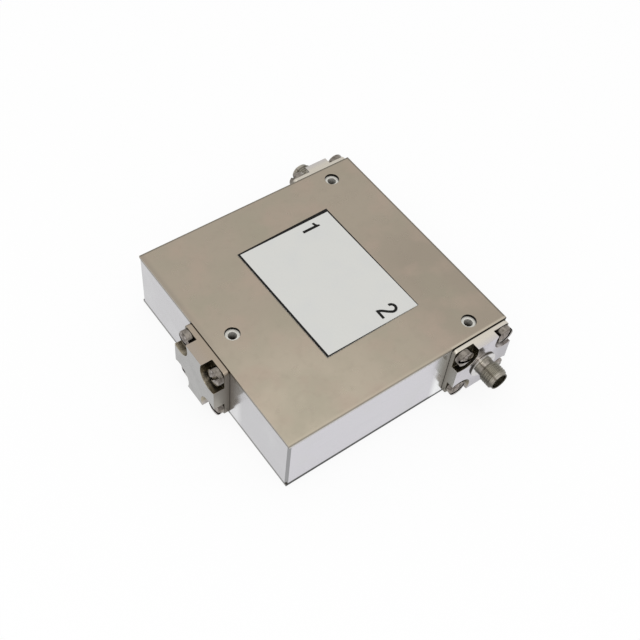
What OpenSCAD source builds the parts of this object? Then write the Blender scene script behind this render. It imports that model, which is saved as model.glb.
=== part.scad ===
// Coaxial isolator for a microwave line: a square metal housing with a Y junction of
// ferrite discs inside, two female coaxial connectors and a built-in termination.
// Frame: X runs from the termination side to the far side, Y from connector 2 to
// connector 1, Z up. The origin is the middle of the housing's underside.

/* [Housing] */
// Side of the square housing
housing_side = 69.85; // [66:0.05:78]
// Height over both covers
housing_h = 19.8; // [18.6:0.1:24]
// Thickness of each sheet cover
cover_t = 0.85; // [0.6:0.05:1.2]
// Chamfer on the upright corners of the body
body_chamfer = 0.65; // [0.3:0.05:0.8]

/* [Mounting holes] */
// Tapped hole for a number 4-40 screw, over its thread crests
tapped_d = 2.4; // [2.2:0.05:2.6]
// Depth of the tapped holes in the top and bottom
tapped_depth = 4.5; // [3:0.1:5]
// Clearance hole through the covers
cover_hole_d = 4.15; // [3.4:0.05:5]
// Setback of the two holes beside the connectors from their sides
mount_setback = 4.7; // [3.5:0.1:6.5]
// Setback of the hole beside the termination from its side
mount_setback_load = 6.8; // [4.5:0.1:9]

/* [Ports] */
// Gap between a square block's edges and the covers
block_gap = 0.16; // [0.05:0.01:0.6]
// Distance of both connector blocks from the side opposite the termination
block_setback = 0.31; // [0.2:0.01:4]
// Radius of the block's outer corners
block_corner_r = 1; // [0.3:0.1:1.6]
// Thickness of the block under the screw heads
block_floor_t = 1.3; // [0.9:0.05:1.8]
// Thickness of a connector block
block_t = 3.5; // [2.6:0.05:4.5]
// Thickness of the termination block
load_block_t = 4.85; // [4.2:0.05:6.5]
// Distance of the screw axes from the block's edges
screw_inset = 2.03; // [1.8:0.01:2.8]
// Diameter of the pocket round each screw head
pocket_d = 7.62; // [6.2:0.02:8]
// Wall left in the housing behind each connector
port_wall = 2.5; // [1.5:0.1:3.2]

/* [Screws] */
// Thread diameter over its crests
screw_d = 2.79; // [2:0.01:3]
// Length under the head
screw_len = 6.35; // [4:0.05:7]
// Head diameter
head_d = 5.5; // [4.6:0.05:5.8]
// Head height at its middle
head_h = 2.3; // [1.5:0.05:2.6]
// Rise of the rounded crown within the head height
crown_rise = 0.5; // [0.2:0.05:0.8]
// Width of the driver slot
slot_w = 0.85; // [0.6:0.05:1]
// Depth of the driver slot
slot_depth = 1.05; // [0.6:0.05:1.2]

/* [Connector] */
// Outer diameter of the coupling thread
thread_d = 6.35; // [6:0.01:6.6]
// Length of the threaded stretch with its two bevels
thread_len = 3.9; // [2.6:0.1:6]
// Length of the plain lead in front of the thread
lead_len = 0.9; // [0.4:0.1:1.5]
// Diameter of the plain neck behind the thread and of the lead
neck_d = 5.3; // [5.15:0.05:5.6]
// Length of the plain neck
neck_len = 1.6; // [1:0.1:3]
// Diameter of the shoulder that seats on the block
shoulder_d = 8.26; // [7.6:0.02:9]
// Thickness of that shoulder
shoulder_t = 0.5; // [0.3:0.05:0.9]
// Diameter of the spigot pressed into the block
spigot_d = 6; // [5.2:0.1:6.6]
// Bore that takes the mating connector's outer conductor
mouth_bore_d = 4.62; // [4.4:0.01:4.8]
// Depth of that bore to the mating plane
mouth_bore_depth = 1.93; // [1.5:0.01:2.1]
// Diameter of the insulator
insulator_d = 4.1; // [3.9:0.01:4.3]
// Diameter of the centre contact
contact_d = 1.27; // [1.1:0.01:1.6]
// Socket for the mating pin
socket_d = 0.94; // [0.8:0.01:1]
// Depth of the socket
socket_depth = 2.8; // [2:0.1:3.5]
// Width of the slots between the socket's fingers
finger_slot_w = 0.15; // [0.1:0.01:0.3]

/* [Junction] */
// Diameter of each ferrite disc
ferrite_d = 32; // [24:0.5:35]
// Thickness of each ferrite disc
ferrite_t = 3; // [2.4:0.1:3.5]
// Width of the ceramic ring round it
ring_w = 4.3; // [3:0.1:5]
// Width of the ledge that carries a pole disc
ledge_w = 2.5; // [1.5:0.1:3]
// Thickness of each pole disc
pole_t = 1; // [0.6:0.1:1.6]
// Thickness of the centre conductor
conductor_t = 0.3; // [0.2:0.05:0.5]
// Diameter of the conductor's round middle
resonator_d = 19; // [14:0.5:24]
// Width of its arms over the ceramic ring
arm_inner_w = 3.4; // [2:0.1:5]
// Width of its arms in the channels
arm_outer_w = 5.6; // [3:0.1:7]
// Width of the tabs that the contacts hold
tab_w = 2.5; // [2:0.1:3.2]
// Width of the channels for the arms
channel_w = 9; // [8:0.1:10]
// Distance of the arms' bend from the connector sides
bend_inset = 4.6; // [4.5:0.1:5]

/* [Termination] */
// Diameter of the bore round the load resistor
load_bore_d = 6.5; // [5.5:0.1:7]
// Diameter of the load resistor's ceramic rod
rod_d = 3; // [2:0.1:3.6]
// Length of the load resistor
rod_len = 9; // [7:0.1:12]
// Height of the ground cup in the block
cup_h = 3; // [2.2:0.1:3.4]
// Depth at which the cup and the inner cap hold the rod
rod_grip = 1.6; // [1:0.1:1.9]
// Outer diameter of the inner cap on the rod
cap_d = 3.9; // [3.8:0.1:4.6]
// Length of the inner cap
cap_len = 2.6; // [2.4:0.1:3]
// Room between the inner cap and the bore's end
cap_gap = 0.6; // [0.2:0.1:1]

/* [Label] */
// Size of the label plate along X
label_x = 30.1; // [20:0.1:36]
// Size of the label plate along Y
label_y = 40.1; // [28:0.1:46]
// Thickness of the label plate
label_t = 0.15; // [0.1:0.05:0.3]
// Place of the label's middle along X
label_at_x = 2.6; // [-4:0.1:5]
// Place of the label's middle along Y
label_at_y = 1.05; // [-5:0.05:5]
// Turn of the label plate, which is laid on by hand
label_turn = 0.7; // [-1:0.1:1]

/* [Fits] */
// Radial clearance of pressed and turned pieces in their bores
press_gap = 0.02; // [0.01:0.01:0.05]
// Radial clearance of the discs and rings in their bores
disc_gap = 0.1; // [0.05:0.05:0.2]
// Radial clearance of a screw in its hole
screw_gap = 0.08; // [0.05:0.01:0.15]
// Gap between the centre conductor's ends and the housing
end_gap = 0.4; // [0.2:0.05:0.8]
// Length of conductor held in the slotted end of a contact
grip_len = 1.6; // [1:0.1:2]

/* [Hidden] */
$fn = 96;
// How far a cutter runs past the face it cuts
over = 1;
// Spare depth of a tapped hole past the screw's point
tip_gap = 0.7;
// Bevel at both ends of the coupling thread
thread_bevel = 0.5;
// Bevel at the edge of the connector's mouth
mouth_bevel = 0.15;
// Number of slots across the contact's socket
finger_slots = 2;
// Turn of the driver slot in each of a block's four screws
slot_turns = [50, -14, 22, -5];
// Turn of the two connector arms from the X axis
arm_angle = 60;

half_side = housing_side / 2;
mid_z = housing_h / 2;
body_h = housing_h - 2 * cover_t;
block_side = body_h - 2 * block_gap;
screw_pitch = block_side - 2 * screw_inset;
port_x = half_side - block_setback - block_side / 2;
line_gap = 2 * ferrite_t + conductor_t;
cavity_d = ferrite_d + 2 * ring_w + 4 * disc_gap;
magnet_bore_d = cavity_d + 2 * ledge_w;
magnet_t = body_h / 2 - line_gap / 2 - pole_t;
junction_x = port_x - (half_side - bend_inset) / tan(arm_angle);
arm_reach = (half_side - bend_inset) / sin(arm_angle);

// Distances from the side: outwards to the thread, the mouth and the mating plane, and
// inwards to the ends of the conductor, the resistor, its cap and the bore round them
thread_start = block_t + shoulder_t + neck_len;
thread_end = thread_start + thread_len;
mouth = thread_end + lead_len;
mating_plane = mouth - mouth_bore_depth;
conductor_end = port_wall + end_gap;
rod_inner_end = rod_len - rod_grip;
cap_end = rod_inner_end - rod_grip + cap_len;
load_bore_depth = cap_end + cap_gap;
load_conductor_end = load_bore_depth + end_gap;

// Sides: [turn about Z, place along the side] of connector 1, connector 2, termination
SIDE_1 = [180, -port_x];
SIDE_2 = [0, port_x];
SIDE_3 = [-90, 0];
SIDES = [SIDE_1, SIDE_2, SIDE_3];

// Draws its children on one side of the housing: their Z points straight out of the
// side, their X runs along it, and their origin lies at mid height on its face.
module on_side(side) {
    rotate([0, 0, side[0]])
        translate([side[1], -half_side, mid_z])
            rotate([90, 0, 0])
                children();
}

// Places its children at the four screw positions of a block
module at_screws() {
    for (i = [0 : 3])
        rotate([0, 0, 90 * i])
            translate([screw_pitch / 2, screw_pitch / 2, 0])
                rotate([0, 0, -90 * i])
                    children();
}

// Places its children at the three mounting holes
module at_mounting_holes() {
    translate([port_x, half_side - mount_setback, 0]) children();
    translate([port_x, mount_setback - half_side, 0]) children();
    translate([mount_setback_load - half_side, 0, 0]) children();
}

// Round disc on the junction's axis
module disc(d, h) {
    translate([junction_x, 0, 0])
        cylinder(d = d, h = h);
}

// Square with its four corners cut off at 45 degrees
module chamfered_square(side, chamfer) {
    a = side / 2;
    b = a - chamfer;
    polygon([[a, b], [b, a], [-b, a], [-a, b], [-a, -b], [-b, -a], [b, -a], [a, -b]]);
}

module rounded_square(side, r) {
    inner = side - 2 * r;
    square([side, inner], center = true);
    square([inner, side], center = true);
    for (x = [-1, 1], y = [-1, 1])
        translate([x * inner / 2, y * inner / 2])
            circle(r = r);
}

// Flat strip along an arm, between two distances from the junction
module strip(turn, w, from, to) {
    translate([junction_x, 0])
        rotate([0, 0, turn])
            translate([from, -w / 2])
                square([to - from, w]);
}

// Flat strip on the axis of connector 1, between two distances from its side
module end_strip(w, near, far) {
    translate([port_x - w / 2, half_side - far])
        square([w, far - near]);
}

// Draws its children for connector 1, and mirrored for connector 2
module both_connectors() {
    children();
    mirror([0, 1, 0]) children();
}

// Outline of the channels that lead from the cavity to the three ports
module channel_outline() {
    both_connectors() {
        strip(arm_angle, channel_w, 0, arm_reach);
        end_strip(channel_w, port_wall, bend_inset + channel_w / 2);
    }
    strip(180, channel_w, 0, junction_x + half_side - load_bore_depth);
}

// Flat outline of the centre conductor
module conductor_outline() {
    load_reach = junction_x + half_side - load_conductor_end;
    translate([junction_x, 0])
        circle(d = resonator_d);
    both_connectors() {
        strip(arm_angle, arm_inner_w, 0, arm_reach);
        strip(arm_angle, arm_outer_w, cavity_d / 2, arm_reach);
        end_strip(tab_w, conductor_end, bend_inset + tab_w / 2);
    }
    strip(180, arm_inner_w, 0, load_reach);
    strip(180, arm_outer_w, cavity_d / 2, load_reach);
}

module housing_body() {
    difference() {
        translate([0, 0, cover_t])
            linear_extrude(height = body_h)
                chamfered_square(housing_side, body_chamfer);
        // bores for the magnets and pole discs, down to a ledge above and below
        translate([0, 0, mid_z + line_gap / 2])
            disc(magnet_bore_d, body_h);
        translate([0, 0, mid_z - line_gap / 2 - body_h])
            disc(magnet_bore_d, body_h);
        // cavity for the ferrites and rings
        translate([0, 0, cover_t])
            disc(cavity_d, body_h);
        translate([0, 0, mid_z - line_gap / 2])
            linear_extrude(height = line_gap)
                channel_outline();
        for (side = [SIDE_1, SIDE_2])
            on_side(side)
                translate([0, 0, -port_wall - over])
                    cylinder(d = insulator_d + 2 * press_gap, h = port_wall + 2 * over);
        on_side(SIDE_3)
            translate([0, 0, -load_bore_depth - over])
                cylinder(d = load_bore_d, h = load_bore_depth + 2 * over);
        for (side = SIDES)
            on_side(side)
                at_screws()
                    translate([0, 0, block_floor_t - screw_len - tip_gap])
                        cylinder(d = screw_d + 2 * screw_gap, h = screw_len + over);
        at_mounting_holes() {
            translate([0, 0, cover_t + body_h - tapped_depth])
                cylinder(d = tapped_d, h = tapped_depth + over);
            translate([0, 0, cover_t - over])
                cylinder(d = tapped_d, h = tapped_depth + over);
        }
    }
}

module cover() {
    difference() {
        translate([-half_side, -half_side, 0])
            cube([housing_side, housing_side, cover_t]);
        at_mounting_holes()
            translate([0, 0, -over])
                cylinder(d = cover_hole_d, h = cover_t + 2 * over);
    }
}

// Square block with a pocket for a screw at each corner, which opens at both edges
module port_block(t) {
    difference() {
        linear_extrude(height = t)
            rounded_square(block_side, block_corner_r);
        at_screws() {
            translate([0, 0, block_floor_t])
                cylinder(d = pocket_d, h = t);
            translate([0, 0, -over])
                cylinder(d = screw_d + 2 * screw_gap, h = block_floor_t + 2 * over);
        }
    }
}

module connector_block() {
    difference() {
        port_block(block_t);
        translate([0, 0, -over])
            cylinder(d = spigot_d + 2 * press_gap, h = block_t + 2 * over);
    }
}

// Turned outer conductor: spigot, shoulder, neck, thread, lead and hollow mouth
module connector_shell() {
    bore_r = insulator_d / 2 + press_gap;
    mouth_r = mouth_bore_d / 2;
    neck_r = neck_d / 2;
    thread_r = thread_d / 2;
    rotate_extrude()
        polygon([
            [bore_r, 0],
            [spigot_d / 2, 0],
            [spigot_d / 2, block_t],
            [shoulder_d / 2, block_t],
            [shoulder_d / 2, block_t + shoulder_t],
            [neck_r, block_t + shoulder_t],
            [neck_r, thread_start],
            [thread_r, thread_start + thread_bevel],
            [thread_r, thread_end - thread_bevel],
            [neck_r, thread_end],
            [neck_r, mouth],
            [mouth_r + mouth_bevel, mouth],
            [mouth_r, mouth - mouth_bevel],
            [mouth_r, mating_plane],
            [bore_r, mating_plane]
        ]);
}

module connector_insulator() {
    translate([0, 0, -port_wall])
        difference() {
            cylinder(d = insulator_d, h = mating_plane + port_wall);
            translate([0, 0, -over])
                cylinder(d = contact_d + 2 * press_gap, h = mating_plane + port_wall + 2 * over);
        }
}

// Pin between two depths, with a slot across its inner end for the flat conductor
module slotted_pin(conductor_depth, top) {
    inner_end = -conductor_depth - grip_len;
    difference() {
        translate([0, 0, inner_end])
            cylinder(d = contact_d, h = top - inner_end);
        translate([-contact_d, -conductor_t / 2, inner_end - over])
            cube([2 * contact_d, conductor_t, grip_len + over]);
    }
}

module connector_contact() {
    difference() {
        slotted_pin(conductor_end, mating_plane);
        translate([0, 0, mating_plane - socket_depth]) {
            cylinder(d = socket_d, h = socket_depth + over);
            for (i = [1 : finger_slots])
                rotate([0, 0, 180 * i / finger_slots])
                    translate([-contact_d, -finger_slot_w / 2, 0])
                        cube([2 * contact_d, finger_slot_w, socket_depth + over]);
        }
    }
}

module screw() {
    crown_r = (pow(head_d / 2, 2) + pow(crown_rise, 2)) / (2 * crown_rise);
    difference() {
        union() {
            translate([0, 0, -screw_len])
                cylinder(d = screw_d, h = screw_len);
            intersection() {
                cylinder(d = head_d, h = head_h);
                translate([0, 0, head_h - crown_r])
                    sphere(r = crown_r);
            }
        }
        translate([-head_d, -slot_w / 2, head_h - slot_depth])
            cube([2 * head_d, slot_w, slot_depth + over]);
    }
}

module block_screws(side) {
    on_side(side)
        for (i = [0 : 3])
            rotate([0, 0, 90 * i])
                translate([screw_pitch / 2, screw_pitch / 2, block_floor_t])
                    rotate([0, 0, slot_turns[i] - 90 * i])
                        screw();
}

module body() {
    color("#c9c9cf") housing_body();
}

module top_cover() {
    color("#a59b8a") translate([0, 0, housing_h - cover_t]) cover();
}

module bottom_cover() {
    color("#a59b8a") cover();
}

module label_plate() {
    color("#d6d7d6")
        translate([label_at_x, label_at_y, housing_h])
            rotate([0, 0, label_turn])
                translate([-label_x / 2, -label_y / 2, 0])
                    cube([label_x, label_y, label_t]);
}

module upper_magnet() {
    color("#3a3a3d")
        translate([0, 0, housing_h - cover_t - magnet_t])
            disc(magnet_bore_d - 2 * disc_gap, magnet_t);
}

module lower_magnet() {
    color("#3a3a3d")
        translate([0, 0, cover_t])
            disc(magnet_bore_d - 2 * disc_gap, magnet_t);
}

module upper_pole_disc() {
    color("#8d9096")
        translate([0, 0, mid_z + line_gap / 2])
            disc(magnet_bore_d - 2 * disc_gap, pole_t);
}

module lower_pole_disc() {
    color("#8d9096")
        translate([0, 0, mid_z - line_gap / 2 - pole_t])
            disc(magnet_bore_d - 2 * disc_gap, pole_t);
}

module upper_ferrite() {
    color("#26262a") translate([0, 0, mid_z + conductor_t / 2]) disc(ferrite_d, ferrite_t);
}

module lower_ferrite() {
    color("#26262a") translate([0, 0, mid_z - line_gap / 2]) disc(ferrite_d, ferrite_t);
}

// Ceramic ring that fills the cavity round a ferrite disc
module ceramic_ring() {
    difference() {
        disc(cavity_d - 2 * disc_gap, ferrite_t);
        translate([0, 0, -over])
            disc(ferrite_d + 2 * disc_gap, ferrite_t + 2 * over);
    }
}

module upper_ceramic_ring() {
    color("#ece6d8") translate([0, 0, mid_z + conductor_t / 2]) ceramic_ring();
}

module lower_ceramic_ring() {
    color("#ece6d8") translate([0, 0, mid_z - line_gap / 2]) ceramic_ring();
}

module centre_conductor() {
    color("#c9a24a")
        translate([0, 0, mid_z - conductor_t / 2])
            linear_extrude(height = conductor_t)
                conductor_outline();
}

module port_1_block() {
    color("#c4c3c6") on_side(SIDE_1) connector_block();
}

module port_1_shell() {
    color("#8c897b") on_side(SIDE_1) connector_shell();
}

module port_1_insulator() {
    color("#f0efea") on_side(SIDE_1) connector_insulator();
}

module port_1_contact() {
    color("#d0a94e") on_side(SIDE_1) connector_contact();
}

module port_1_screws() {
    color("#8f8c82") block_screws(SIDE_1);
}

module port_2_block() {
    color("#c4c3c6") on_side(SIDE_2) connector_block();
}

module port_2_shell() {
    color("#8c897b") on_side(SIDE_2) connector_shell();
}

module port_2_insulator() {
    color("#f0efea") on_side(SIDE_2) connector_insulator();
}

module port_2_contact() {
    color("#d0a94e") on_side(SIDE_2) connector_contact();
}

module port_2_screws() {
    color("#8f8c82") block_screws(SIDE_2);
}

// Closed block with a blind bore in its back for the load's ground cup
module termination_block() {
    color("#c4c3c6")
        on_side(SIDE_3)
            difference() {
                port_block(load_block_t);
                translate([0, 0, -over])
                    cylinder(d = load_bore_d, h = cup_h + over);
            }
}

module termination_screws() {
    color("#8f8c82") block_screws(SIDE_3);
}

module load_resistor() {
    color("#3b4a44")
        on_side(SIDE_3)
            translate([0, 0, -rod_inner_end])
                cylinder(d = rod_d, h = rod_len);
}

module load_cap() {
    color("#d0a94e")
        on_side(SIDE_3)
            difference() {
                union() {
                    translate([0, 0, -cap_end])
                        cylinder(d = cap_d, h = cap_len);
                    slotted_pin(load_conductor_end, -cap_end);
                }
                translate([0, 0, -rod_inner_end])
                    cylinder(d = rod_d + 2 * press_gap, h = rod_len);
            }
}

module load_ground_cup() {
    color("#c9a24a")
        on_side(SIDE_3)
            difference() {
                cylinder(d = load_bore_d - 2 * press_gap, h = cup_h);
                translate([0, 0, -over])
                    cylinder(d = rod_d + 2 * press_gap, h = rod_grip + over);
            }
}

body();
top_cover();
bottom_cover();
label_plate();
upper_magnet();
lower_magnet();
upper_pole_disc();
lower_pole_disc();
upper_ferrite();
lower_ferrite();
upper_ceramic_ring();
lower_ceramic_ring();
centre_conductor();
port_1_block();
port_1_shell();
port_1_insulator();
port_1_contact();
port_1_screws();
port_2_block();
port_2_shell();
port_2_insulator();
port_2_contact();
port_2_screws();
termination_block();
termination_screws();
load_resistor();
load_cap();
load_ground_cup();
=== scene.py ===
"""Looks of a coaxial isolator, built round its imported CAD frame.

Lengths are in millimetres, and MM turns them into Blender's metres. The frame has X from the
termination side to the far side, Y from connector 2 to connector 1, Z up, and its origin in
the middle of the underside. Colours are sRGB in 0 to 255.
"""
import math

import bmesh
import bpy
from mathutils import Matrix, Vector


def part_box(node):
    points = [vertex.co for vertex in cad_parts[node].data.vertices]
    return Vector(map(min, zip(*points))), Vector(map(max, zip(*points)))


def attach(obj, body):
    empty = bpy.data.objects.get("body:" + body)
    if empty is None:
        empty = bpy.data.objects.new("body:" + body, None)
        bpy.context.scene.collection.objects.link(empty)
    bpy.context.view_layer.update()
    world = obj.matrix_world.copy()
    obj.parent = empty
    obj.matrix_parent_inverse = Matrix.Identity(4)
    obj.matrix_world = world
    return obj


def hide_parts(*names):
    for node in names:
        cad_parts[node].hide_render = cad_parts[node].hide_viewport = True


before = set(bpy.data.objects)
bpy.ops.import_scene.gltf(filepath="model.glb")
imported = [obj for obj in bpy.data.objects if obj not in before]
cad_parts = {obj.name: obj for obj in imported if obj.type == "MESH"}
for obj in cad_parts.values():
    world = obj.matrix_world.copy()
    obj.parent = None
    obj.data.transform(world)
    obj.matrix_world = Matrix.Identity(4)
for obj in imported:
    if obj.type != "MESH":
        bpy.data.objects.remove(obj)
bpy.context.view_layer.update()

# Metres in a millimetre, millimetres in an inch, and how near vertices count as one
MM = 0.001
INCH = 25.4
SAME_PLACE = 0.0005 * MM
scene = bpy.context.scene

# Places and sizes that the frame gives
body_low, body_high = (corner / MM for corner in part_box("body"))
shell_low, shell_high = (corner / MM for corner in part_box("port_2_shell"))
block_low, block_high = (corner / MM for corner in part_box("port_2_block"))
label_low, label_high = (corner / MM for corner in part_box("label_plate"))
half_side = body_high.x
mid_z = (body_low.z + body_high.z) / 2
port_x = (shell_low.x + shell_high.x) / 2
block_t = -half_side - block_low.y
half_block = (block_high.x - block_low.x) / 2
mouth = -half_side - shell_low.y

# Sizes of the CAD's holes, pockets and label, which the boxes do not show
holes = [Vector(place) for place in ((25.725, 30.225), (25.725, -30.225), (-28.125, 0))]
tapped_r = 1.2
screw_pitch = 13.72
cad_floor_t = 1.3
label_size = Vector((30.1, 40.1))
label_turn = math.radians(0.7)

# How far out the corners of the label, and those inside its border, lie in the photograph,
# counted from the corners of label_size along its two sides
label_outsets = ((0.12, 0.17), (-0.12, 0.13), (0.03, 0.45), (0.15, 0.1))
border_outsets = ((-0.55, -0.25), (-0.32, 0.11), (-0.43, -0.64), (-0.48, -0.38))

# Thickness under the screw heads, and the edges of the blocks along their side and upwards,
# as the photograph shows them
port_floor_t = 1.3
load_floor_t = 1.6
block_1_edges = ((-8.95, 9.6), (-9.2, 9.5))
block_2_edges = ((-9.65, 9.1), (-9.2, 9.5))
load_edges = ((-9.3, 9.3), (-9.2, 9.5))

# Sides of the housing: turn about Z, and place along the side
SIDE_1 = (180, -port_x)
SIDE_2 = (0, port_x)
SIDE_3 = (-90, 0)


def linear(red, green, blue):
    """Linear colour of an sRGB one"""
    def channel(value):
        value /= 255
        return value / 12.92 if value <= 0.04045 else ((value + 0.055) / 1.055) ** 2.4
    return (channel(red), channel(green), channel(blue), 1.0)


def lighter(colour, levels):
    """The colour with so many levels added to each channel"""
    return tuple(channel + levels for channel in colour)


class Surface:
    """A Principled material, and short calls that add nodes to it"""

    def __init__(self, name, colour, metallic, roughness):
        self.material = bpy.data.materials.new(name)
        self.material.use_nodes = True
        self.tree = self.material.node_tree
        self.shader = self.tree.nodes["Principled BSDF"]
        self.shader.inputs["Metallic"].default_value = metallic
        self.coords = self.node("ShaderNodeTexCoord")
        self.colour = linear(*colour)
        self.roughness = roughness
        self.normal = None

    def feed(self, socket, value):
        """Links a socket to another node's output, or sets it to a plain value"""
        if isinstance(value, bpy.types.NodeSocket):
            self.tree.links.new(value, socket)
        else:
            socket.default_value = value

    def node(self, kind, settings=None, **inputs):
        """New node with these settings, fed with these inputs"""
        new = self.tree.nodes.new(kind)
        for name, value in (settings or {}).items():
            setattr(new, name, value)
        for name, value in inputs.items():
            self.feed(new.inputs[name.replace("_", " ")], value)
        return new

    def noise(self, size, stretch=(1, 1, 1), shift=0.0, detail=3):
        """Soft noise whose features have about that size"""
        place = self.node("ShaderNodeMapping", Vector=self.coords.outputs["Object"],
                          Location=(shift, shift, shift), Scale=stretch)
        return self.node("ShaderNodeTexNoise", Vector=place.outputs["Vector"],
                         Scale=1 / (size * MM), Detail=detail).outputs["Fac"]

    def span(self, value, low, high, to_low=0.0, to_high=1.0):
        """Stretches the values between low and high to another span, and cuts off the rest"""
        return self.node("ShaderNodeMapRange", Value=value, From_Min=low, From_Max=high,
                         To_Min=to_low, To_Max=to_high).outputs["Result"]

    def math(self, operation, first, second=0.0):
        """Result of one of Blender's operations on one or two values"""
        node = self.node("ShaderNodeMath", {"operation": operation})
        self.feed(node.inputs[0], first)
        self.feed(node.inputs[1], second)
        return node.outputs[0]

    def size_of(self, value):
        """The value without its sign"""
        return self.math("ABSOLUTE", value)

    def both(self, first, second):
        """Mask of the places that two masks share"""
        return self.math("MULTIPLY", first, second)

    def either(self, first, second):
        """Mask of the places that at least one of two masks has"""
        return self.math("MAXIMUM", first, second)

    def normal_along(self, axis):
        """Part of the face's normal along an axis of the frame"""
        parts = self.node("ShaderNodeSeparateXYZ", Vector=self.coords.outputs["Normal"])
        return parts.outputs[axis]

    def place_along(self, axis):
        """Place along an axis of the frame, in metres"""
        parts = self.node("ShaderNodeSeparateXYZ", Vector=self.coords.outputs["Object"])
        return parts.outputs[axis]

    def facing(self, axis, low, high):
        """Mask of the faces whose normal's part along an axis rises from low to high"""
        return self.span(self.normal_along(axis), low, high)

    def upright(self):
        """Mask of the faces that stand upright"""
        return self.span(self.size_of(self.normal_along("Z")), 0.5, 0.3)

    def corner_faces(self):
        """Mask of the narrow upright faces that cut off the corners at 45 degrees"""
        across = self.size_of(self.both(self.normal_along("X"), self.normal_along("Y")))
        return self.span(across, 0.2, 0.4)

    def along(self, axis, low, high):
        """Mask that rises from low to high along an axis of the frame"""
        return self.span(self.place_along(axis), low * MM, high * MM)

    def inwards(self, axis, low, high):
        """Mask that rises from low to high, counted from the housing's low side on an axis"""
        return self.along(axis, low - half_side, high - half_side)

    def outwards(self, axes, low, high):
        """Mask that rises from low to high, counted outwards from the housing's sides along
        one or both of its level axes"""
        furthest = self.size_of(self.place_along(axes[0]))
        for axis in axes[1:]:
            furthest = self.either(furthest, self.size_of(self.place_along(axis)))
        return self.span(furthest, (half_side + low) * MM, (half_side + high) * MM)

    def inside(self):
        """Mask of what lies inside the outline of the housing, such as the walls of holes"""
        return self.outwards("XY", -0.6, -0.9)

    def over_blocks(self):
        """Mask of the cover's edges that close the joints over the three blocks, which take painted
        shade
        """
        seam_x = port_x - 9.65
        seam_y = 9.35
        blur = 0.05
        at_ports = self.both(self.outwards("Y", -0.15, -0.1),
                             self.along("X", seam_x - blur, seam_x + blur))
        near_middle = self.span(self.size_of(self.place_along("Y")),
                                (seam_y + blur) * MM, (seam_y - blur) * MM)
        at_load = self.both(self.inwards("X", 0.03, 0.01), near_middle)
        return self.either(at_ports, self.both(at_load, 0.75))

    def beside_blocks(self):
        """Mask of the housing's sides where they mirror the near sides of two blocks, which painted
        light brightens
        """
        at_port = self.both(self.along("X", port_x - 14.5, port_x - 12.5),
                            self.inwards("Y", 0.3, 0.2))
        at_load = self.both(self.inwards("X", 0.3, 0.2),
                            self.both(self.along("Y", -15, -12.5), self.along("Y", 0, -1)))
        return self.either(at_port, self.both(at_load, 0.5))

    def across_barrels(self, low, high):
        """Mask that rises across the barrels as the photograph shows them, from low to high
        in parts of their radius"""
        barrel_r = 2.95
        across = (0.889, 0, 0.457)
        middle = across[0] * port_x + across[2] * mid_z
        place = self.node("ShaderNodeVectorMath", {"operation": "DOT_PRODUCT"})
        self.feed(place.inputs[0], self.coords.outputs["Object"])
        self.feed(place.inputs[1], across)
        return self.span(place.outputs["Value"], (middle + low * barrel_r) * MM,
                         (middle + high * barrel_r) * MM)

    def crevice(self, reach, open_at, closed_at):
        """Ambient-occlusion mask of the places that other surfaces within reach close in, which the
        tints use for painted shade
        """
        shade = self.node("ShaderNodeAmbientOcclusion", {"samples": 12}, Distance=reach * MM)
        return self.span(shade.outputs["AO"], open_at, closed_at)

    def tint(self, mask, colour, share=1.0):
        """Lets another colour show where the mask is, up to that share"""
        if share < 1.0:
            mask = self.both(mask, share)
        node = self.node("ShaderNodeMixRGB", Fac=mask, Color1=self.colour,
                         Color2=linear(*colour))
        self.colour = node.outputs["Color"]

    def clouds(self, colour, share, size, low=0.45, high=0.75, **more):
        """Lets another colour show, up to that share, in clouds of about that size. They
        begin where the noise passes low, and they are full where it passes high."""
        mask = self.span(self.noise(size, **more), low, high, 0.0, share)
        self.tint(mask, colour)

    def polish(self, mask, low, high):
        """Roughness that wanders from low to high with the noise"""
        self.roughness = self.span(mask, 0.3, 0.7, low, high)

    def keep_rough(self, mask, least):
        """Roughness of at least that much where the mask is"""
        self.roughness = self.either(self.roughness, self.both(mask, least))

    def relief(self, height_mask, height):
        """Bump of that height"""
        node = self.node("ShaderNodeBump", Strength=1.0, Distance=height * MM,
                         Height=height_mask)
        if self.normal:
            self.feed(node.inputs["Normal"], self.normal)
        self.normal = node.outputs["Normal"]

    def done(self):
        """Feeds the shader with what the calls have built up, and gives the material"""
        self.feed(self.shader.inputs["Base Color"], self.colour)
        self.feed(self.shader.inputs["Roughness"], self.roughness)
        if self.normal:
            self.feed(self.shader.inputs["Normal"], self.normal)
        return self.material


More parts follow.
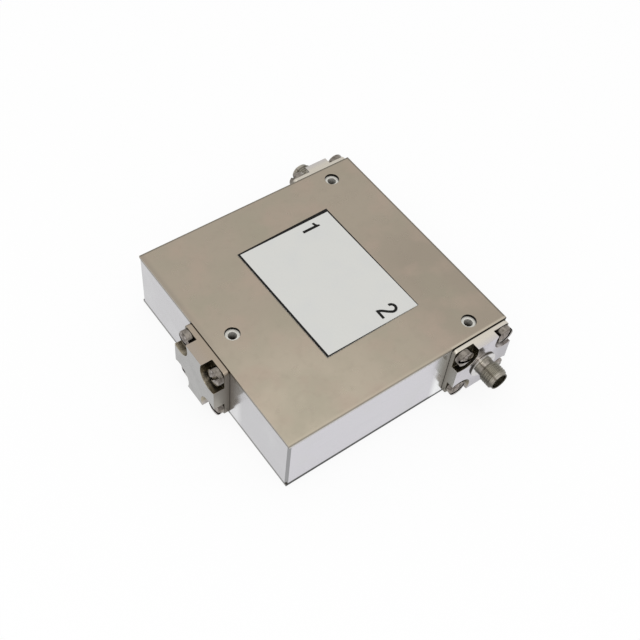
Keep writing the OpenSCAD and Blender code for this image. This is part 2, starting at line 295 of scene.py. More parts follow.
def plated_sheet(name, sheet_z, edge, front):
    """Nickel plate on a sheared steel sheet, whose underside is at sheet_z: warm grey and
    cloudy, lighter towards the near corner as a painted reflection, with a painted highlight
    along the side of connector 2, painted dark reflections along the arrises, and painted
    shade, almost black, in the holes and in the joints over the blocks. edge and front are
    pairs of colours, for the lower and the upper part of the sheared edge, all round and at
    the side of connector 2, and they paint the light and shade on that edge."""
    s = Surface(name, (172, 161, 145), 1.0, 0.3)
    # painted reflection: the sheet is lighter towards the near corner
    near_corner_reflection = s.both(s.along("X", 14, -24), s.along("Y", 2, -24))
    s.tint(near_corner_reflection, (188, 177, 159))
    right_corner = s.both(s.along("X", 10, 22), s.along("Y", 14, -4))
    s.tint(right_corner, (163, 152, 137))
    s.clouds((164, 158, 140), 0.5, size=15, low=0.47, high=0.68)
    s.clouds((180, 162, 147), 0.5, size=10, low=0.49, high=0.68, shift=0.3)
    s.clouds((163, 152, 137), 0.3, size=2.4, low=0.52, shift=0.7)
    # painted highlight along the edge on the side of connector 2
    rim_highlight = s.inwards("Y", 1.1, 0.5)
    s.tint(rim_highlight, (200, 190, 170), 0.35)
    # darker band along the top's edge beside the load block
    load_edge_band = s.both(s.inwards("X", 1.6, 0.6), s.along("Y", -8, 14))
    s.tint(load_edge_band, (146, 138, 127), 0.35)
    # painted dark reflection along the far arrises of the sheet
    for axis in "XY":
        far_arris_reflection = s.along(axis, half_side - 0.6, half_side - 0.25)
        s.tint(far_arris_reflection, (108, 103, 94), 0.8)
    # painted dark reflection along the near arris, where no block lies below
    clear_of_block = s.along("X", port_x - 9.4, port_x - 9.8)
    s.tint(s.both(s.inwards("Y", 0.35, 0.15), clear_of_block), (112, 106, 98), 0.6)
    # painted highlight along the near arris over the block
    at_block = s.along("X", port_x - 9.8, port_x - 9.4)
    s.tint(s.both(s.inwards("Y", 0.8, 0.6), at_block), (206, 196, 179), 0.6)
    # painted shade on the upward faces that lie under the body
    shaded_under_body = s.both(s.facing("Z", 0.3, 0.6), s.along("Z", 5, 2))
    s.tint(shaded_under_body, (84, 80, 74))
    sheared = s.upright()
    upper_part = s.along("Z", sheet_z + 0.35, sheet_z + 0.6)
    # painted light and shade on the sheared edge: edge colours its lower and upper part all round,
    # front colours them at the side of connector 2
    s.tint(sheared, edge[0])
    s.tint(s.both(sheared, upper_part), edge[1])
    at_front = s.both(sheared, s.facing("Y", -0.6, -0.8))
    s.tint(at_front, front[0])
    s.tint(s.both(at_front, upper_part), front[1])
    # painted shade, near black, on the walls of the holes
    s.tint(s.both(sheared, s.inside()), (16, 13, 10))
    # painted shade, almost black, in the joints over the blocks
    s.tint(s.over_blocks(), (20, 16, 11))
    s.polish(s.noise(4, detail=4), 0.26, 0.36)
    s.relief(s.noise(14, detail=1), 0.03)
    return s.done()


def machined_alloy():
    """Plated and fly-cut housing: pale lilac grey, close to a mirror, with fine level lines,
    and painted shade: a darker load side and corner faces, and dark lines along the covers and
    beside the joints, with painted light where the sides mirror the blocks"""
    s = Surface("machined_alloy", (203, 201, 206), 1.0, 0.18)
    load_side = s.facing("X", -0.6, -0.8)
    # painted shade: the load side a little darker
    s.tint(load_side, (189, 188, 190))
    s.clouds((200, 200, 201), 0.6, size=9, low=0.5)
    s.clouds((194, 193, 199), 0.3, size=0.5, high=0.7, stretch=(0.03, 0.03, 1))
    s.tint(s.facing("Z", 0.6, 0.9), (226, 223, 212))
    # painted shade on the corner faces
    s.tint(s.corner_faces(), (146, 146, 147))
    lowest = s.along("Z", body_low.z + 0.5, body_low.z + 0.2)
    highest = s.along("Z", body_high.z - 0.5, body_high.z - 0.1)
    # painted shade: dark lines along the covers at the foot and the top of the sides
    s.tint(s.both(s.facing("Y", -0.6, -0.8), lowest), (66, 65, 65))
    s.tint(s.both(load_side, lowest), (90, 90, 90), 0.5)
    s.tint(s.both(load_side, highest), (120, 110, 96), 0.6)
    # painted light over the sides' reflection of the blocks
    s.tint(s.beside_blocks(), (246, 247, 247), 0.8)
    # painted shade on the upright faces next to the joints
    shade_beside_joints = s.both(s.upright(), s.crevice(0.7, 0.8, 0.4))
    s.tint(shade_beside_joints, (84, 78, 70))
    s.polish(s.noise(3, stretch=(0.3, 0.3, 1)), 0.16, 0.22)
    s.relief(s.noise(0.35, stretch=(0.02, 0.02, 1), detail=2), 0.0006)
    s.relief(s.noise(12, detail=1), 0.012)
    return s.done()


def tapped_alloy():
    """Walls of the tapped holes, dull grey from their fine threads, with painted shade that darkens
    them deep down
    """
    s = Surface("tapped_alloy", (192, 190, 184), 0.25, 0.55)
    s.clouds((164, 160, 152), 0.6, size=0.8, high=0.7)
    from_middle = s.size_of(s.math("SUBTRACT", s.place_along("Z"), mid_z * MM))
    half_h = (body_high.z - body_low.z) / 2
    # painted shade deep in the holes
    shaded_depth = s.span(from_middle, (half_h - 0.9) * MM, (half_h - 2.6) * MM)
    s.tint(shaded_depth, (80, 76, 68))
    s.relief(s.noise(0.3, stretch=(0.05, 0.05, 1)), 0.02)
    return s.done()


def faced_alloy():
    """Top and bottom of the housing under the covers, matt from the mill, with painted shade where
    walls close in
    """
    s = Surface("faced_alloy", (222, 220, 212), 0.2, 0.45)
    s.clouds((206, 204, 196), 0.6, size=1.1, high=0.7)
    # painted shade where nearby walls close in
    s.tint(s.crevice(0.55, 0.68, 0.5), (70, 64, 57))
    s.relief(s.noise(0.3), 0.003)
    return s.done()


def block_alloy(name, axes, front, top, sides, shade_at_body):
    """Plated block with a polished front, a top warmed by painted reflection, and sides greyed
    by painted shade, whose colour goes over to the last colour, a darker painted shade,
    towards the housing. top is the pair of colours of the top's back and front. axes names the
    axis along the normal of its sides and the one that points outwards."""
    s = Surface(name, front, 1.0, 0.14)
    s.clouds(lighter(front, -14), 0.7, size=3.5, low=0.42, high=0.7)
    s.clouds(lighter(front, 12), 0.4, size=1.3, low=0.5, shift=0.6, detail=4)
    far_end = s.along("X", port_x + 2.5, port_x + 6)
    s.tint(far_end, (162, 160, 164), 0.85)
    port_foot = s.both(s.along("Z", 7, 4), s.along("X", 0, 5))
    s.tint(port_foot, (168, 166, 170), 0.6)
    # painted shade: greyer sides, darker towards the housing and upwards
    sideways = s.span(s.size_of(s.normal_along(axes[0])), 0.55, 0.85)
    s.tint(sideways, sides)
    inner_part = s.outwards(axes[1], 3.5, 0.5)
    s.tint(s.both(sideways, inner_part), shade_at_body)
    upper_part = s.along("Z", 9, 19)
    s.tint(s.both(sideways, upper_part), shade_at_body, 0.5)
    # painted reflection: a warmer top, going over to lilac towards its outer edge
    upwards = s.facing("Z", 0.35, 0.8)
    s.tint(upwards, top[0])
    outer_part = s.outwards(axes[1], 1.6, 3.6)
    s.tint(s.both(upwards, outer_part), top[1], 0.7)
    # painted shade in the joint between the top and the housing
    joint = s.outwards(axes[1], 0.32, 0.16)
    s.tint(s.both(upwards, joint), (60, 52, 40), 0.75)
    # painted shade where nearby surfaces close in
    s.tint(s.crevice(0.15, 0.8, 0.4), (60, 55, 47))
    s.polish(s.noise(1.5), 0.1, 0.18)
    s.keep_rough(sideways, 0.36)
    s.relief(s.noise(0.16, detail=3), 0.0008)
    s.relief(s.noise(2.5, detail=2), 0.003)
    return s.done()


def pocket_alloy():
    """Walls of the screw pockets: painted dark with shade inside, least where they face up,
    where painted light lightens them, and black with painted shade under overhangs
    """
    s = Surface("pocket_alloy", (188, 178, 158), 1.0, 0.28)
    s.clouds((150, 146, 124), 0.6, size=1.2, high=0.7)
    # painted shade deep inside the pockets
    shaded_depth = s.outwards("XY", 5.2, 2.2)
    s.tint(shaded_depth, (84, 79, 65), 0.85)
    # painted light on the walls that face up
    low_or_far = s.either(s.along("Z", 9, 7), s.along("X", port_x + 3, port_x + 5))
    s.tint(s.both(s.facing("Z", 0.1, 0.5), low_or_far), (198, 193, 192))
    # painted shade, black, under overhangs
    overhung_shade = s.both(s.crevice(3.2, 0.75, 0.35), s.facing("Z", 0.15, -0.35))
    s.tint(overhung_shade, (14, 13, 9))
    s.relief(s.noise(0.2), 0.002)
    return s.done()


def turned_steel():
    """Passivated steel of the connectors: olive grey, with painted dark reflections in streaks
    along the barrel, and paler on the neck and the lead than on the thread as a painted
    highlight"""
    s = Surface("turned_steel", (177, 171, 160), 1.0, 0.24)
    # painted highlight: the neck and the lead are left paler than the darker thread zone
    thread = s.both(s.outwards("Y", 5.5, 6), s.outwards("Y", mouth - 0.8, mouth - 1.2))
    s.tint(thread, (156, 151, 138))
    s.clouds((124, 120, 109), 0.6, size=1.2, low=0.48, high=0.7, shift=0.2, detail=4)
    # painted reflections: dark streaks on the left and right flanks, and a dark line along the
    # barrel
    left_flank_reflection = s.across_barrels(-0.55, -0.8)
    s.tint(left_flank_reflection, (80, 78, 72), 0.85)
    right_flank_reflection = s.across_barrels(0.35, 0.85)
    s.tint(right_flank_reflection, (104, 101, 92), 0.7)
    reflected_dark_line = s.both(s.across_barrels(-0.32, -0.2), s.across_barrels(-0.04, -0.16))
    s.tint(reflected_dark_line, (104, 95, 84), 0.7)
    # painted shade where nearby surfaces close in
    s.tint(s.crevice(0.5, 0.6, 0.2), (70, 67, 58), 0.7)
    s.polish(s.noise(0.9), 0.3, 0.42)
    s.relief(s.noise(0.08, stretch=(0.02, 1, 0.02)), 0.0012)
    return s.done()


def flange_steel():
    """Faced front of a connector's shoulder, polished like the block behind it"""
    s = Surface("flange_steel", (206, 204, 203), 1.0, 0.15)
    s.clouds((180, 178, 174), 0.6, size=1.2, high=0.72)
    # painted shade where nearby surfaces close in
    s.tint(s.crevice(0.8, 0.8, 0.4), (96, 92, 80))
    s.relief(s.noise(0.3), 0.001)
    return s.done()


def bored_steel():
    """Dark rim and bore of a connector's mouth; the bore's dark is painted shade, darkest where
    nearby surfaces close in
    """
    s = Surface("bored_steel", (84, 81, 70), 1.0, 0.3)
    s.clouds((58, 56, 47), 0.7, size=0.8, high=0.72)
    # painted shade deep in the bore
    s.tint(s.crevice(1.5, 0.7, 0.3), (26, 25, 20))
    s.relief(s.noise(0.2), 0.002)
    return s.done()


def screw_side_steel():
    """Stainless screws: pinkish grey flanks and shank"""
    s = Surface("screw_side_steel", (144, 137, 129), 1.0, 0.22)
    s.clouds((92, 87, 79), 0.8, size=0.9, high=0.7)
    # painted shade where nearby surfaces close in
    s.tint(s.crevice(1.3, 0.7, 0.3), (24, 21, 19))
    s.polish(s.noise(0.5, detail=4), 0.14, 0.3)
    s.relief(s.noise(0.3, detail=3), 0.004)
    return s.done()


def screw_crown_steel():
    """Crown and slot of the screws, darker than the flanks as painted shade, mottled, with
    small painted glints, and painted shade in the slot
    """
    s = Surface("screw_crown_steel", (138, 130, 124), 1.0, 0.2)
    s.clouds((84, 78, 72), 0.9, size=1.0, low=0.42, high=0.64)
    # painted glints
    s.clouds((190, 185, 180), 0.8, size=0.45, low=0.55, high=0.7, shift=0.4)
    # painted shade in the slot and under the rim
    s.tint(s.crevice(1.2, 0.75, 0.35), (20, 17, 16))
    s.polish(s.noise(0.5, detail=4), 0.12, 0.3)
    s.relief(s.noise(0.35, detail=4), 0.012)
    return s.done()


def label_film():
    """Satin white foil of the label"""
    s = Surface("label_film", (204, 204, 200), 0.0, 0.42)
    s.clouds((199, 200, 199), 0.5, size=7)
    s.clouds((196, 195, 191), 0.35, size=0.4, low=0.55, detail=4)
    s.polish(s.noise(2.5), 0.36, 0.48)
    s.relief(s.noise(0.5), 0.0015)
    return s.done()


def printing_ink():
    """Matt black print, a little uneven"""
    s = Surface("printing_ink", (11, 10, 8), 0.0, 0.6)
    s.shader.inputs["Specular IOR Level"].default_value = 0.2
    s.clouds((30, 28, 24), 0.6, size=0.6, low=0.5, high=0.8, detail=4)
    s.polish(s.noise(0.8), 0.5, 0.7)
    return s.done()


def moulded_insulator():
    """White fluoropolymer bead, waxy, with faint turning marks"""
    s = Surface("moulded_insulator", (236, 235, 229), 0.0, 0.4)
    s.clouds((226, 224, 214), 0.6, size=1.4)
    # painted shade where nearby surfaces close in
    s.tint(s.crevice(1.2, 0.6, 0.2), (176, 171, 156))
    s.polish(s.noise(0.6), 0.34, 0.5)
    s.relief(s.noise(0.15, stretch=(0.05, 1, 0.05)), 0.002)
    return s.done()


def gold_plate():
    """Thin gold on the contacts, the strip and the ends of the load"""
    s = Surface("gold_plate", (216, 176, 96), 1.0, 0.25)
    s.clouds((198, 154, 76), 0.6, size=0.8)
    # painted shade where nearby surfaces close in
    s.tint(s.crevice(0.5, 0.6, 0.2), (92, 64, 26))
    s.polish(s.noise(0.4), 0.2, 0.34)
    s.relief(s.noise(0.1), 0.001)
    return s.done()


def dull_solid(name, colour, metallic, roughness, grain):
    """Plain ground or fired finish of a piece inside the housing, with clouds that are
    eight times as wide as its grain"""
    s = Surface(name, colour, metallic, roughness)
    darker = tuple(channel * 0.86 for channel in colour)
    s.clouds(darker, 0.6, size=grain * 8)
    s.polish(s.noise(grain * 4), roughness - 0.06, roughness + 0.08)
    s.relief(s.noise(grain), 0.004)
    return s.done()


def mesh_object(name, bm, materials):
    """Puts a bmesh into the scene as a piece with these materials"""
    mesh = bpy.data.meshes.new(name)
    bm.to_mesh(mesh)
    bm.free()
    for material in materials:
        mesh.materials.append(material)
    piece = bpy.data.objects.new(name, mesh)
    scene.collection.objects.link(piece)
    return piece


def smooth(mesh, angle):
    """Smooth shading that stays sharp at edges of more than that angle"""
    mesh.polygons.foreach_set("use_smooth", [True] * len(mesh.polygons))
    mesh.set_sharp_from_angle(angle=math.radians(angle))


def settled(piece):
    """Applies the piece's modifiers"""
    graph = bpy.context.evaluated_depsgraph_get()
    mesh = bpy.data.meshes.new_from_object(piece.evaluated_get(graph))
    piece.modifiers.clear()
    piece.data = mesh
    return piece


def stand_for(piece, node):
    """Lets a piece take the place of a CAD node"""
    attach(piece, "root")
    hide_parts(node)


def side_matrix(side):
    """Places a piece on one side: its Z points straight out and its X runs along it"""
    turn, place = side
    return (Matrix.Rotation(math.radians(turn), 4, "Z")
            @ Matrix.Translation(Vector((place, -half_side, mid_z)) * MM)
            @ Matrix.Rotation(math.radians(90), 4, "X"))


def from_screw(place):
    """Distance from the nearest of a block's four screws, for a place in its side's frame"""
    return math.hypot(abs(place.x) - screw_pitch / 2, abs(place.y) - screw_pitch / 2)


def softened(name, node, radius, materials):
    """Copy of a CAD node whose edges are rounded as plating and tumbling leave them"""
    flat = math.radians(0.4)
    sharp = math.radians(35)
    bm = bmesh.new()
    bm.from_mesh(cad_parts[node].data)
    bmesh.ops.remove_doubles(bm, verts=bm.verts, dist=SAME_PLACE)
    bmesh.ops.dissolve_limit(bm, angle_limit=flat, verts=bm.verts, edges=bm.edges)
    piece = mesh_object(name, bm, materials)
    edge = piece.modifiers.new("edges", "BEVEL")
    edge.width = radius * MM
    edge.segments = 3
    edge.limit_method = "ANGLE"
    edge.angle_limit = sharp
    edge.use_clamp_overlap = True
    settled(piece)
    smooth(piece.data, 38)
    weights = piece.modifiers.new("normals", "WEIGHTED_NORMAL")
    weights.keep_sharp = True
    return settled(piece)


def countersunk(piece):
    """Widens the mouths of the tapped holes as a countersink does, from the rounding there"""
    rounded_r = tapped_r + 0.13
    rounded_h = 0.12
    growth = 4
    mouths = [(hole, z) for z in (body_low.z, body_high.z) for hole in holes]
    for vertex in piece.data.vertices:
        place = vertex.co / MM
        for hole, z in mouths:
            across = place.to_2d() - hole
            if across.length < rounded_r and abs(place.z - z) < rounded_h:
                spread = tapped_r + (across.length - tapped_r) * growth
                across = across.normalized() * spread
                place = Vector((*(hole + across), z + (place.z - z) * growth))
                vertex.co = place * MM
                break
    return piece


def drilled(piece):
    """Gives the walls of the tapped holes, and the faces under the covers, their materials"""
    tapped, faced = 1, 2
    wall_r = tapped_r + 0.006
    countersink_r = tapped_r + 0.2
    for face in piece.data.polygons:
        middle = (face.center / MM).to_2d()
        away = min((middle - hole).length for hole in holes)
        if away < wall_r and abs(face.normal.z) < 0.3:
            face.material_index = tapped
        elif away < countersink_r or abs(face.normal.z) > 0.9:
            face.material_index = faced
    return piece


def turned_piece(name, outline_at, steps, materials):
    """Closed mesh swept round the local Z axis. outline_at(turn) gives its closed outline
    as pairs of radius and height, which change with the turn where there is a thread."""
    bm = bmesh.new()
    rings = []
    for step in range(steps + 1):
        turn = step / steps
        angle = 2 * math.pi * turn
        across = Vector((math.cos(angle), math.sin(angle), 0))
        rings.append([bm.verts.new((across * r + Vector((0, 0, z))) * MM)
                      for r, z in outline_at(turn)])
    for ring, after in zip(rings, rings[1:]):
        for i in range(len(ring)):
            j = (i + 1) % len(ring)
            bm.faces.new((ring[i], ring[j], after[j], after[i]))
    bmesh.ops.remove_doubles(bm, verts=bm.verts, dist=SAME_PLACE)
    bmesh.ops.dissolve_degenerate(bm, edges=bm.edges, dist=0.0003 * MM)
    bmesh.ops.recalc_face_normals(bm, faces=bm.faces)
    return mesh_object(name, bm, materials)


def thread_outline(turn, low, high, pitch, root_r, crest_r, end_r):
    """Section of a screw thread between two heights, bevelled down to end_r at both. Root,
    flanks and crest have their widths in parts of the pitch."""
    root = 0.25
    crest = 0.125
    flank = (1 - root - crest) / 2
    mid_r = (root_r + crest_r) / 2
    corners = [(0, root_r), (root / 2, root_r), (root, root_r), (root + flank / 2, mid_r),
               (root + flank, crest_r), (root + flank + crest, crest_r), (1 - flank / 2, mid_r)]
    outline = []
    for k in range(-1, math.ceil((high - low) / pitch) + 1):
        for phase, r in corners:
            z = min(max(low + (k + phase + turn) * pitch, low), high)
            outline.append((min(r, end_r + min(z - low, high - z)), z))
    return outline


def connector_shell(name, node, side, metals):
    """Threaded outer conductor of a connector, from its spigot to its mouth"""
    flange, bore = 1, 2
    bore_r = 2.07
    spigot_r = 3
    shoulder_r = 4.13
    shoulder_top = block_t + 0.5
    neck_r = 2.65
    neck_fillet = 0.12
    thread_start = shoulder_top + 1.6
    thread_end = mouth - 0.55
    pitch = INCH / 36
    root_r = 2.93
    crest_r = INCH / 8
    mouth_r = 2.31
    mouth_bevel = 0.15
    bevel = 0.08
    mating_plane = mouth - 1.93

    def outline(turn):
        foot = [(bore_r, 0), (spigot_r, 0), (spigot_r, block_t), (shoulder_r - bevel, block_t),
                (shoulder_r, block_t + bevel), (shoulder_r, shoulder_top - bevel),
                (shoulder_r - bevel, shoulder_top), (neck_r + neck_fillet, shoulder_top),
                (neck_r, shoulder_top + neck_fillet)]
        thread = thread_outline(turn, thread_start, thread_end, pitch, root_r, crest_r, neck_r)
        hollow = [(neck_r, thread_end), (neck_r, mouth - bevel), (neck_r - bevel, mouth),
                  (mouth_r + mouth_bevel, mouth), (mouth_r, mouth - mouth_bevel),
                  (mouth_r, mating_plane), (bore_r, mating_plane)]
        return foot + thread + hollow

    piece = turned_piece(name, outline, steps=96, materials=metals)
    hair = 0.01
    for face in piece.data.polygons:
        r = math.hypot(face.center.x, face.center.y) / MM
        z = face.center.z / MM
        if r < neck_r - hair and z > mating_plane - hair:
            face.material_index = bore
        elif r > neck_r + 0.1 and abs(z - shoulder_top) < bevel:
            face.material_index = flange
    piece.data.transform(side_matrix(side))
    smooth(piece.data, 30)
    stand_for(piece, node)


def cut_slot(screw, slot_w, floor_z):
    """Cuts the driver's slot across a screw's head, down to floor_z"""
    reach = 12
    height = 4
    bm = bmesh.new()
    box = bmesh.ops.create_cube(bm, size=1)["verts"]
    bmesh.ops.scale(bm, vec=Vector((reach, slot_w, height)) * MM, verts=box)
    bmesh.ops.translate(bm, vec=Vector((0, 0, floor_z + height / 2)) * MM, verts=box)
    cutter = mesh_object("slot_cutter", bm, [])
    cut = screw.modifiers.new("slot", "BOOLEAN")
    cut.operation = "DIFFERENCE"
    cut.solver = "EXACT"
    cut.object = cutter
    settled(screw)
    bpy.data.objects.remove(cutter)


def screw_mesh(metals):
    """Slotted pan-head screw, with its head's seat at height 0"""
    length = 6.35
    pitch = INCH / 40
    tip_r = 0.85
    root_r = 1.07
    crest_r = 1.39
    thread_end = -0.35
    head_r = 2.5
    head_h = 2.3
    bevel = 0.12
    rise = 0.5
    rim = 0.1
    crown_r = (head_r ** 2 + rise ** 2) / (2 * rise)
    crown_stations = (head_r - rim, 2.1, 1.7, 1.2, 0.6)
    slot_w = 0.85
    slot_floor = head_h - 1.05

    def outline(turn):
        thread = thread_outline(turn, -length, thread_end, pitch, root_r, crest_r, tip_r)
        crown = [(r, head_h - crown_r + math.sqrt(crown_r ** 2 - r ** 2))
                 for r in crown_stations]
        return ([(0, -length), (tip_r, -length)] + thread
                + [(root_r, thread_end), (root_r, 0), (head_r - bevel, 0), (head_r, bevel),
                   (head_r, head_h - rise - rim)] + crown + [(0, head_h)])

    screw = turned_piece("screw", outline, steps=48, materials=metals)
    cut_slot(screw, slot_w, slot_floor)
    mesh = screw.data
    rim_hair, floor_hair = 0.03, 0.01
    for face in mesh.polygons:
        within = math.hypot(face.center.x, face.center.y) < (head_r - rim_hair) * MM
        above = face.center.z > (slot_floor - floor_hair) * MM
        face.material_index = int(within and above)
    bpy.data.objects.remove(screw)
    return mesh


def block_screws(name, node, side, mesh, metals, floor_t):
    """The four screws of a block, whose heads sit on the pocket floors"""
    slot_turns = (50, -14, 22, -5)
    bm = bmesh.new()
    for i, turn in enumerate(slot_turns):
        one = mesh.copy()
        one.transform(side_matrix(side)
                      @ Matrix.Rotation(math.radians(90 * i), 4, "Z")
                      @ Matrix.Translation(Vector((screw_pitch / 2, screw_pitch / 2, floor_t)) * MM)
                      @ Matrix.Rotation(math.radians(turn - 90 * i), 4, "Z"))
        bm.from_mesh(one)
        bpy.data.meshes.remove(one)
    piece = mesh_object(name, bm, metals)
    smooth(piece.data, 32)
    stand_for(piece, node)


def darken_pockets(piece, side):
    """Gives the walls of a block's four screw pockets their darker material, painted with shade"""
    walls = 1
    pocket_r = 3.82
    to_side = side_matrix(side).inverted()
    for face in piece.data.polygons:
        middle = to_side @ face.center / MM
        out = (to_side.to_3x3() @ face.normal).normalized()
        on_wall = abs(out.z) < 0.5 or middle.z < cad_floor_t + 0.1
        if from_screw(middle) < pocket_r and middle.z > cad_floor_t - 0.05 and on_wall:
            face.material_index = walls


def move_edges(piece, side, edges, floor_t):
    """Moves a block's four edges and its pocket floors to where the photograph has them"""
    edge_band = 1.05
    floor_band = 0.16
    hole_r = 2
    from_side = side_matrix(side)
    to_side = from_side.inverted()
    for vertex in piece.data.vertices:
        place = to_side @ vertex.co / MM
        if abs(place.z - cad_floor_t) < floor_band:
            place.z += floor_t - cad_floor_t
        if from_screw(place) > hole_r:
            for i, (low, high) in enumerate(edges):
                if place[i] > half_block - edge_band:
                    place[i] += high - half_block
                elif place[i] < edge_band - half_block:
                    place[i] += low + half_block
        vertex.co = from_side @ (place * MM)


def block(name, node, side, metals, edges, floor_t):
    """Square block whose four screw pockets have walls darkened with painted shade"""
    piece = softened(name, node, radius=0.12, materials=metals)
    darken_pockets(piece, side)
    move_edges(piece, side, edges, floor_t)
    stand_for(piece, node)


def printed(name, outlines, ink):
    """Flat print on the label, from outlines in the frame's X and Y"""
    gap = 0.005
    ink_t = 0.015
    bm = bmesh.new()
    for outline in outlines:
        bm.faces.new([bm.verts.new(Vector((x, y, label_high.z + gap)) * MM)
                      for x, y in outline])
    bmesh.ops.remove_doubles(bm, verts=bm.verts, dist=SAME_PLACE)
    top = bmesh.ops.extrude_face_region(bm, geom=list(bm.faces))["geom"]
    bmesh.ops.translate(bm, vec=(0, 0, ink_t * MM),
                        verts=[v for v in top if isinstance(v, bmesh.types.BMVert)])
    bmesh.ops.recalc_face_normals(bm, faces=bm.faces)
    piece = mesh_object(name, bm, [ink])
    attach(piece, "root")


def label_corners(outsets):
    """Corners of the label in the frame's X and Y, each moved out by so much"""
    middle = (label_low + label_high).to_2d() / 2
    turn = Matrix.Rotation(label_turn, 2)
    x, y = label_size / 2
    signs = ((-1, -1), (1, -1), (1, 1), (-1, 1))
    return [middle + turn @ Vector((a * (x + out_x), b * (y + out_y)))
            for (a, b), (out_x, out_y) in zip(signs, outsets)]


def trimmed(piece):
    """Moves the label's corners to where the photograph has them"""
    plain = label_corners(((0, 0),) * 4)
    seen = label_corners(label_outsets)
    for vertex in piece.data.vertices:
        place = (vertex.co / MM).to_2d()
        away = [(place - corner).length for corner in plain]
        nearest = away.index(min(away))
        place += seen[nearest] - plain[nearest]
        vertex.co = Vector((*place, vertex.co.z / MM)) * MM
    return piece


def label_border(ink):
    """Black border round the label: a printed border, widened in places by painted shadow along the
    label's edge, so that its width changes
    """
    outer = label_corners(label_outsets)
    inner = label_corners(border_outsets)
    sides = [(outer[i], outer[(i + 1) % 4], inner[(i + 1) % 4], inner[i]) for i in range(4)]
    printed("label_border", sides, ink)


def numeral(name, outline, centre, ink):
    """Numeral that reads towards -Y, with its top towards +X"""
    printed(name, [[(centre[0] + v, centre[1] - u) for u, v in outline]], ink)


def numeral_one():
    """Outline of the numeral 1: a straight stem, and a flag with a hollow upper edge"""
    half_w = 0.42
    half_h = 2.75
    flag = [(-0.1, half_h), (-0.22, 2.35), (-0.45, 2.1), (-0.8, 1.93), (-1.42, 1.83),
            (-1.42, 1.12), (-0.85, 1.17), (-half_w, 1.36)]
    return [(-half_w, -half_h), (half_w, -half_h), (half_w, half_h)] + flag


def numeral_two():
    """Outline of the numeral 2: a stroke along a bowl and a slanted neck, and a straight foot"""
    half_w = 0.4
    bowl_x, bowl_y = 1.19, 1.23
    bowl_middle = 1.28
    turns = [math.radians(a) for a in range(185, -31, -15)]
    line = [Vector((bowl_x * math.cos(a), bowl_middle + bowl_y * math.sin(a))) for a in turns]
    line += [Vector(p) for p in ((0.58, 0.0), (0.06, -0.62), (-0.49, -1.23), (-0.91, -1.85))]
    upper, lower = [], []
    for i, point in enumerate(line):
        ahead = line[min(i + 1, len(line) - 1)] - line[max(i - 1, 0)]
        aside = Vector((-ahead.y, ahead.x)).normalized() * half_w
        upper.append(point + aside)
        lower.append(point - aside)
    foot = [(-0.46, -2.13), (1.57, -2.13), (1.57, -2.89), (-1.57, -2.89), (-1.5, -2.35)]
    return [tuple(p) for p in upper] + foot + [tuple(p) for p in reversed(lower)]


def table_material():
    """Mostly glowing white where the camera or a mirror sees it, so that only a faint shadow
    is left, and a plain table to other light"""
    glow_share = 0.86
    material = bpy.data.materials.new("floor_white")
    material.use_nodes = True
    tree = material.node_tree
    tree.nodes.clear()
    path = tree.nodes.new("ShaderNodeLightPath")
    seen = path.outputs["Is Camera Ray"]
    for kind in ("Is Glossy Ray", "Is Transmission Ray"):
        either = tree.nodes.new("ShaderNodeMath")
        either.operation = "MAXIMUM"
        tree.links.new(seen, either.inputs[0])
        tree.links.new(path.outputs[kind], either.inputs[1])
        seen = either.outputs[0]
    share = tree.nodes.new("ShaderNodeMath")
    share.operation = "MULTIPLY"
    tree.links.new(seen, share.inputs[0])
    share.inputs[1].default_value = glow_share
    table = tree.nodes.new("ShaderNodeBsdfDiffuse")
    table.inputs["Color"].default_value = (0.9, 0.9, 0.9, 1)
    glow = tree.nodes.new("ShaderNodeEmission")
    glow.inputs["Color"].default_value = (1, 1, 1, 1)
    blend = tree.nodes.new("ShaderNodeMixShader")
    tree.links.new(share.outputs[0], blend.inputs["Fac"])
    tree.links.new(table.outputs["BSDF"], blend.inputs[1])
    tree.links.new(glow.outputs["Emission"], blend.inputs[2])
    output = tree.nodes.new("ShaderNodeOutputMaterial")
    tree.links.new(blend.outputs["Shader"], output.inputs["Surface"])
    return material


def plain_floor():
    """Round white table just under the object, with its radius in metres"""
    radius = 2.5
    drop = 0.02
    bm = bmesh.new()
    bmesh.ops.create_circle(bm, cap_ends=True, segments=96, radius=radius)
    bmesh.ops.translate(bm, vec=(0, 0, -drop * MM), verts=bm.verts)
    mesh_object("floor", bm, [table_material()])


def soft_sky():
    """Even studio light, a little brighter overhead. Each level is for a height in the sky,
    from 0 at the horizon to 1 straight up."""
    levels = ((0.0, 0.93), (0.35, 0.82), (0.72, 0.8), (0.79, 0.88), (0.88, 1.12), (1.0, 1.15))
    world = bpy.data.worlds.new("studio")
    scene.world = world
    world.use_nodes = True
    tree = world.node_tree
    place = tree.nodes.new("ShaderNodeTexCoord")
    parts = tree.nodes.new("ShaderNodeSeparateXYZ")
    tree.links.new(place.outputs["Generated"], parts.inputs["Vector"])
    ramp = tree.nodes.new("ShaderNodeValToRGB")
    tree.links.new(parts.outputs["Z"], ramp.inputs["Fac"])
    stops = ramp.color_ramp.elements
    while len(stops) < len(levels):
        stops.new(0.5)
    for stop, (height, level) in zip(stops, levels):
        stop.position = height
        stop.color = (level, level, level, 1)
    tree.links.new(ramp.outputs["Color"], tree.nodes["Background"].inputs["Color"])


def key_light():
    """Soft lamp high up at the camera's side, with its size and place in metres"""
    lamp = bpy.data.lights.new("key", "AREA")
    lamp.energy = 1.6
    lamp.size = 0.35
    holder = bpy.data.objects.new("key", lamp)
    scene.collection.objects.link(holder)
    holder.location = (-0.42, -0.36, 0.72)
    holder.rotation_euler = (-holder.location).to_track_quat("-Z", "Y").to_euler()


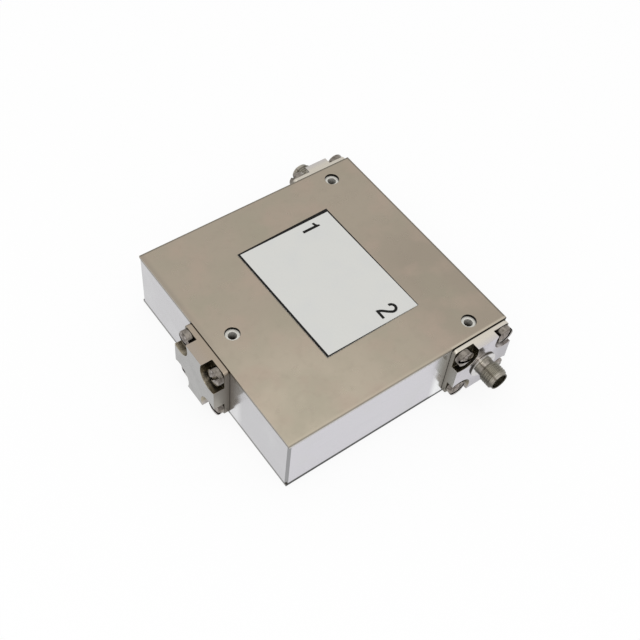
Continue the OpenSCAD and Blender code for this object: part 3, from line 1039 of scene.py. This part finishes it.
def photo_camera():
    """Camera of the photograph: its place in metres, its turn from azimuth, elevation and
    roll, and its focal length and optical centre in pixels"""
    place = (-0.11364, -0.12945, 0.2365)
    azimuth, elevation, roll = (math.radians(a) for a in (41.765, 52.317, -6.976))
    image_px = 640
    focal_px = 1045.5
    centre_px = (325.4, 301.5)
    ahead = Vector((math.sin(azimuth) * math.cos(elevation),
                    math.cos(azimuth) * math.cos(elevation), -math.sin(elevation)))
    level = Vector((math.cos(azimuth), -math.sin(azimuth), 0))
    down = ahead.cross(level)
    right = level * math.cos(roll) + down * math.sin(roll)
    below = down * math.cos(roll) - level * math.sin(roll)
    data = bpy.data.cameras.new("camera")
    data.sensor_width = 36
    data.lens = focal_px * data.sensor_width / image_px
    data.shift_x = (image_px / 2 - centre_px[0]) / image_px
    data.shift_y = (centre_px[1] - image_px / 2) / image_px
    data.clip_start = 0.01
    camera = bpy.data.objects.new("camera", data)
    scene.collection.objects.link(camera)
    turn = Matrix((right, -below, -ahead)).transposed().to_4x4()
    camera.matrix_world = Matrix.Translation(place) @ turn
    scene.camera = camera


def inner_materials():
    """Materials of the CAD nodes that stay as they are, inside the part"""
    given = {
        "port_1_insulator": moulded_insulator(),
        "port_1_contact": gold_plate(),
        "upper_magnet": dull_solid("magnet_ceramic", (66, 66, 70), 0.0, 0.5, 0.3),
        "upper_pole_disc": dull_solid("pole_steel", (150, 152, 156), 1.0, 0.34, 0.25),
        "upper_ferrite": dull_solid("ferrite", (44, 44, 48), 0.0, 0.38, 0.2),
        "upper_ceramic_ring": dull_solid("ring_ceramic", (236, 230, 216), 0.0, 0.5, 0.2),
        "load_resistor": dull_solid("resistor_film", (60, 76, 70), 0.0, 0.42, 0.15),
    }
    given["port_2_insulator"] = given["port_1_insulator"]
    for node in ("port_2_contact", "centre_conductor", "load_cap", "load_ground_cup"):
        given[node] = given["port_1_contact"]
    for kind in ("magnet", "pole_disc", "ferrite", "ceramic_ring"):
        given["lower_" + kind] = given["upper_" + kind]
    return given


scene.view_settings.view_transform = "Standard"
photo_camera()
plain_floor()
soft_sky()
key_light()

# the edge and front colours paint light and shade on the sheets' sheared edges
upper_plate = plated_sheet("upper_plated_sheet", body_high.z,
                           edge=((112, 106, 97), (172, 163, 149)),
                           front=((200, 196, 191), (134, 128, 120)))
lower_plate = plated_sheet("lower_plated_sheet", 0,
                           edge=((158, 158, 156), (84, 83, 82)),
                           front=((22, 22, 23), (22, 22, 23)))
housing_metals = [machined_alloy(), tapped_alloy(), faced_alloy()]
# the top and sides colours paint reflection and shade on the blocks
load_alloy = block_alloy("load_block_alloy", "YX", front=(152, 151, 149),
                         top=((169, 156, 140), (168, 157, 145)),
                         sides=(156, 152, 144), shade_at_body=(106, 98, 88))
port_alloy = block_alloy("port_block_alloy", "XY", front=(192, 189, 194),
                         top=((219, 212, 199), (199, 196, 200)),
                         sides=(170, 169, 162), shade_at_body=(132, 127, 118))
pocket = pocket_alloy()
port_metals = [port_alloy, pocket]
load_metals = [load_alloy, pocket]
shell_metals = [turned_steel(), flange_steel(), bored_steel()]
screw_metals = [screw_side_steel(), screw_crown_steel()]
ink = printing_ink()

upper_sheet = softened("upper_sheet", "top_cover", radius=0.08, materials=[upper_plate])
stand_for(upper_sheet, "top_cover")
lower_sheet = softened("lower_sheet", "bottom_cover", radius=0.03, materials=[lower_plate])
stand_for(lower_sheet, "bottom_cover")
housing = softened("housing", "body", radius=0.1, materials=housing_metals)
stand_for(countersunk(drilled(housing)), "body")
label = softened("label", "label_plate", radius=0.03, materials=[label_film()])
stand_for(trimmed(label), "label_plate")

block("connector_block_1", "port_1_block", SIDE_1, port_metals, block_1_edges, port_floor_t)
block("connector_block_2", "port_2_block", SIDE_2, port_metals, block_2_edges, port_floor_t)
block("load_block", "termination_block", SIDE_3, load_metals, load_edges, load_floor_t)
connector_shell("connector_1", "port_1_shell", SIDE_1, shell_metals)
connector_shell("connector_2", "port_2_shell", SIDE_2, shell_metals)

screw = screw_mesh(screw_metals)
block_screws("connector_screws_1", "port_1_screws", SIDE_1, screw, screw_metals, port_floor_t)
block_screws("connector_screws_2", "port_2_screws", SIDE_2, screw, screw_metals, port_floor_t)
block_screws("load_screws", "termination_screws", SIDE_3, screw, screw_metals, load_floor_t)
bpy.data.meshes.remove(screw)

label_border(ink)
numeral("numeral_1", numeral_one(), centre=(9.5, 17.91), ink=ink)
numeral("numeral_2", numeral_two(), centre=(9.82, -15.89), ink=ink)

for node, material in inner_materials().items():
    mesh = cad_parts[node].data
    mesh.materials.clear()
    mesh.materials.append(material)
